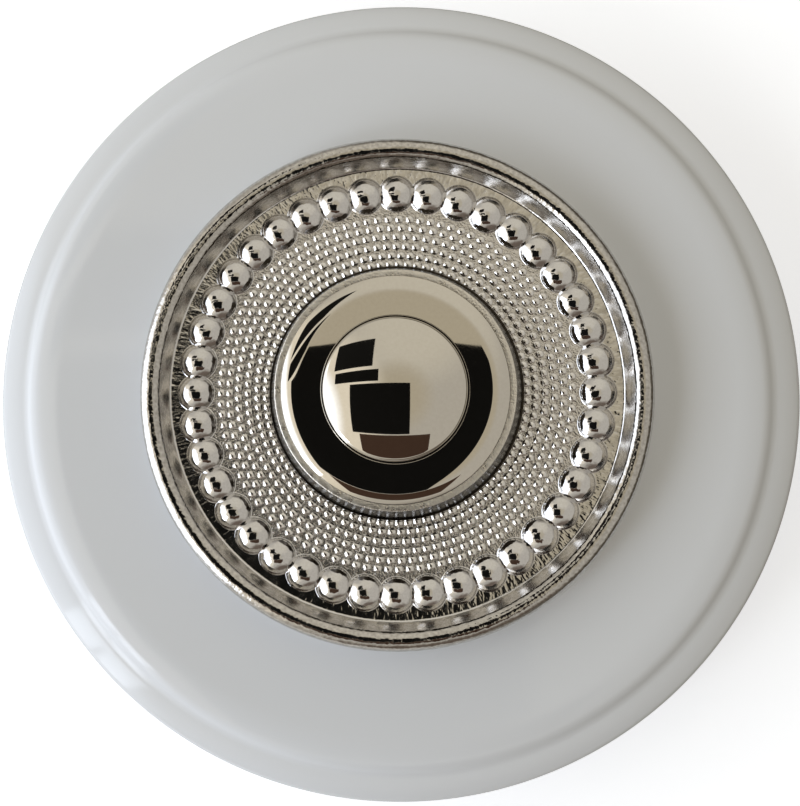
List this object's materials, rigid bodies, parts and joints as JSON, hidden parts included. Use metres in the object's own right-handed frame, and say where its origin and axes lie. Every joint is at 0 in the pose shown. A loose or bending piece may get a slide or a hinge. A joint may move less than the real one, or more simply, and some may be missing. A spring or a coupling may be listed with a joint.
{
  "type": "doorbell push button",
  "caption": "Round doorbell push: domed sprung button in a polished collar and beaded, stippled metal rose, on a white gloss mounting block with moulded edge.",
  "frame": {"origin": "centre of the wall face of the mounting block", "axes": "+Z out of the wall along the press axis, +Y up on the wall, +X to the right seen from the front"},
  "size_m": [0.0966, 0.0966, 0.0249],
  "materials": {
    "white_gloss_block": "turned hardwood, white gloss lacquer",
    "plated_rose": "cast brass, bright nickel plate",
    "polished_plate": "turned brass, polished nickel plate",
    "turned_brass": "turned, bright",
    "spring_bronze": "rolled phosphor bronze strip",
    "moulded_base": "moulded phenolic, brown",
    "insulating_tip": "turned nylon, natural",
    "zinc_steel": "zinc plated"
  },
  "bodies": {
    "base": {"mounting_block": "white_gloss_block", "rose": "plated_rose", "button_collar": "polished_plate", "collar_nut": "turned_brass", "contact_base": "moulded_base", "spring_contact": "spring_bronze", "fixed_contact": "turned_brass", "terminal_insert_1": "turned_brass", "terminal_insert_2": "turned_brass", "terminal_washer_1": "turned_brass", "terminal_washer_2": "turned_brass", "terminal_screw_1": "turned_brass", "terminal_screw_2": "turned_brass", "base_screw_1": "zinc_steel", "base_screw_2": "zinc_steel"},
    "push": {"button": "polished_plate", "plunger": "insulating_tip"}
  },
  "joints": [
    {"name": "button_press", "type": "slide", "parent": "base", "child": "push", "axis": [0, 0, -1], "range_m": [0, 0.0018], "stiffness_N_per_m": 500, "springref_m": -0.002, "deforming": ["spring_contact"]}
  ]
}
